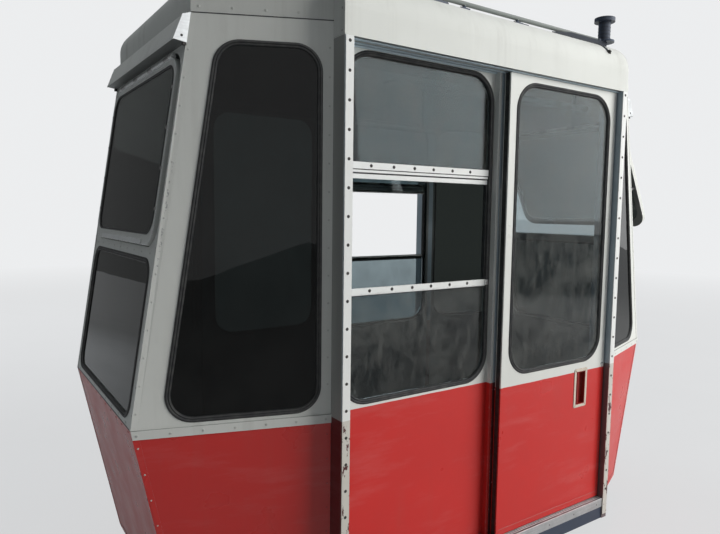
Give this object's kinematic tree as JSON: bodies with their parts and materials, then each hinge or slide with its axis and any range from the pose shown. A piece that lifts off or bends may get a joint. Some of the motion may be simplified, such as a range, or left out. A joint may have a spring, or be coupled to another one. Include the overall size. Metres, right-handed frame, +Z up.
{
  "type": "aerial ropeway cabin",
  "caption": "Aerial ropeway cabin with sliding doors, angled window bays and a roof saddle, hung by an arm from a sheave carriage.",
  "frame": {"origin": "on the track rope's axis, under the middle of the carriage", "axes": "+X along the ropes towards the end with the open window, +Y to the left side, +Z up"},
  "size_m": [2.8808, 1.458, 4.955],
  "materials": {
    "white_paint": "satin",
    "red_paint": "satin",
    "door_paint": "satin",
    "grey_paint": "satin",
    "dark_paint": "satin",
    "strip": "satin",
    "rubber": "matte",
    "glass": "clear",
    "steel": "worn",
    "iron": "worn",
    "floor": "chequered"
  },
  "bodies": {
    "carriage": {"carriage_beam": "dark_paint", "haul_sockets": "iron"},
    "rocker_rear": {"rocker_rear": "dark_paint"},
    "rocker_front": {"rocker_front": "dark_paint"},
    "sheave_1": {"sheave_1": "iron"},
    "sheave_2": {"sheave_2": "iron"},
    "sheave_3": {"sheave_3": "iron"},
    "sheave_4": {"sheave_4": "iron"},
    "door_right": {"sliding_leaf_right": "door_paint", "sliding_gasket_right": "rubber", "sliding_pane_right": "glass", "door_pull_right": "strip", "door_hangers_right": "steel"},
    "door_left": {"sliding_leaf_left": "door_paint", "sliding_gasket_left": "rubber", "sliding_pane_left": "glass", "door_pull_left": "strip", "door_hangers_left": "steel"},
    "guide_roller_rear_right": {"guide_roller_rear_right": "dark_paint"},
    "guide_roller_front_right": {"guide_roller_front_right": "dark_paint"},
    "guide_roller_rear_left": {"guide_roller_rear_left": "dark_paint"},
    "guide_roller_front_left": {"guide_roller_front_left": "dark_paint"},
    "cabin": {"floor_frame": "dark_paint", "floor_plate": "floor", "portal_posts": "grey_paint", "centre_posts": "grey_paint", "door_headers": "white_paint", "roof_shell": "white_paint", "end_visors": "white_paint", "bay_panels": "white_paint", "bay_aprons": "red_paint", "bay_gaskets": "rubber", "bay_panes": "glass", "waist_mouldings": "strip", "end_panels": "white_paint", "end_aprons": "red_paint", "end_gaskets": "rubber", "end_panes": "glass", "hopper_hinges": "strip", "hopper_rear": "white_paint", "hopper_front": "white_paint", "hopper_panes": "glass", "fixed_leaf_right": "door_paint", "fixed_leaf_left": "door_paint", "fixed_leaf_gaskets": "rubber", "fixed_leaf_panes": "glass", "sash_bars": "strip", "cover_strips": "strip", "roof_rails": "dark_paint", "hanger_base": "dark_paint", "hanger_arm": "dark_paint", "hanger_pin": "steel", "grab_rails": "steel"}
  },
  "joints": [
    {"name": "hanger_swing", "type": "hinge", "parent": "carriage", "child": "cabin", "pos_m": [0, 0, 0.09], "axis": [0, 1, 0], "range_deg": [-20, 20]},
    {"name": "rocker_rear_tilt", "type": "hinge", "parent": "carriage", "child": "rocker_rear", "pos_m": [-0.4, 0, 0.245], "axis": [0, 1, 0], "range_deg": [-10, 10]},
    {"name": "rocker_front_tilt", "type": "hinge", "parent": "carriage", "child": "rocker_front", "pos_m": [0.4, 0, 0.245], "axis": [0, 1, 0], "range_deg": [-10, 10]},
    {"name": "sheave_1_spin", "type": "hinge", "parent": "rocker_rear", "child": "sheave_1", "pos_m": [-0.575, 0, 0.155], "axis": [0, 1, 0], "continuous": true},
    {"name": "sheave_2_spin", "type": "hinge", "parent": "rocker_rear", "child": "sheave_2", "pos_m": [-0.225, 0, 0.155], "axis": [0, 1, 0], "continuous": true},
    {"name": "sheave_3_spin", "type": "hinge", "parent": "rocker_front", "child": "sheave_3", "pos_m": [0.225, 0, 0.155], "axis": [0, 1, 0], "continuous": true},
    {"name": "sheave_4_spin", "type": "hinge", "parent": "rocker_front", "child": "sheave_4", "pos_m": [0.575, 0, 0.155], "axis": [0, 1, 0], "continuous": true},
    {"name": "door_right_slide", "type": "slide", "parent": "cabin", "child": "door_right", "axis": [-1, 0, 0], "range_m": [0, 0.66]},
    {"name": "door_left_slide", "type": "slide", "parent": "cabin", "child": "door_left", "axis": [1, 0, 0], "range_m": [0, 0.66]},
    {"name": "guide_roller_rear_right_spin", "type": "hinge", "parent": "cabin", "child": "guide_roller_rear_right", "pos_m": [-0.745, -0.608, -2.28], "axis": [0, 0, 1], "continuous": true},
    {"name": "guide_roller_front_right_spin", "type": "hinge", "parent": "cabin", "child": "guide_roller_front_right", "pos_m": [0.745, -0.608, -2.28], "axis": [0, 0, 1], "continuous": true},
    {"name": "guide_roller_rear_left_spin", "type": "hinge", "parent": "cabin", "child": "guide_roller_rear_left", "pos_m": [-0.745, 0.608, -2.28], "axis": [0, 0, 1], "continuous": true},
    {"name": "guide_roller_front_left_spin", "type": "hinge", "parent": "cabin", "child": "guide_roller_front_left", "pos_m": [0.745, 0.608, -2.28], "axis": [0, 0, 1], "continuous": true}
  ]
}
